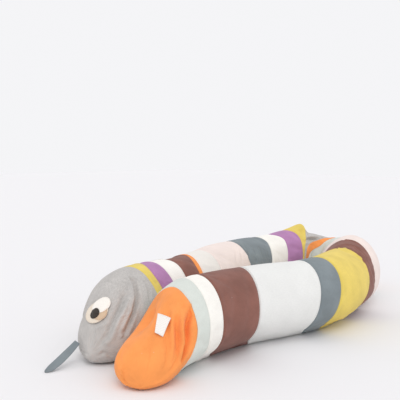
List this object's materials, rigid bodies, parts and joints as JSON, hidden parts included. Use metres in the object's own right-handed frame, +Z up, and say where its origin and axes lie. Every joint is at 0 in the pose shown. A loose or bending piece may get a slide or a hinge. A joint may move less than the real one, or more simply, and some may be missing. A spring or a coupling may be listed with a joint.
{
  "type": "pregnancy pillow",
  "caption": "Long stuffed snake pillow sewn from cotton colour bands and folded in a narrow U, with felt eyes and a cloth tongue, to lean on in pregnancy or nursing.",
  "frame": {"origin": "middle of the bounding box, on the floor that the pillow lies on", "axes": "+X along the two legs of the U towards its bend, +Z up, +Y towards the leg that ends in the head"},
  "size_m": [1.2019, 0.5204, 0.2004],
  "materials": {
    "cloth_grey_melange": "soft matte melange cotton jersey",
    "cloth_yellow": "soft matte cotton jersey",
    "cloth_purple": "soft matte cotton jersey",
    "cloth_white": "soft matte cotton jersey",
    "cloth_brown": "soft matte cotton jersey",
    "cloth_orange": "soft matte cotton jersey",
    "cloth_mint": "soft matte cotton jersey",
    "cloth_pink": "soft matte cotton jersey",
    "cloth_slate": "soft matte cotton jersey",
    "cloth_pale_grey": "soft matte cotton jersey",
    "felt_cream": "felt",
    "felt_peach": "felt",
    "felt_white": "felt",
    "felt_black": "felt",
    "label_cloth": "thin woven cotton"
  },
  "bodies": {
    "root": {"head_grey": "cloth_grey_melange", "band_yellow_neck": "cloth_yellow", "band_purple_neck": "cloth_purple", "band_white_neck": "cloth_white", "band_brown_far": "cloth_brown", "band_orange_far": "cloth_orange", "band_pale_far": "cloth_pale_grey", "band_pink_far": "cloth_pink", "band_slate_far": "cloth_slate", "band_white_far": "cloth_white", "band_purple_kink": "cloth_purple", "band_yellow_kink": "cloth_yellow", "band_grey_kink": "cloth_grey_melange", "band_orange_kink": "cloth_orange", "band_mint_kink": "cloth_mint", "band_pink_bend": "cloth_pink", "band_brown_bend": "cloth_brown", "band_yellow_near": "cloth_yellow", "band_slate_near": "cloth_slate", "band_pale_near": "cloth_pale_grey", "band_brown_near": "cloth_brown", "band_white_near": "cloth_white", "band_mint_near": "cloth_mint", "tail_orange": "cloth_orange", "tongue_slate": "cloth_slate", "label_blank": "label_cloth", "eye_near_socket": "felt_cream", "eye_near_lid": "felt_peach", "eye_near_white": "felt_white", "eye_near_pupil": "felt_black", "eye_far_socket": "felt_cream", "eye_far_lid": "felt_peach", "eye_far_white": "felt_white", "eye_far_pupil": "felt_black"}
  },
  "joints": []
}
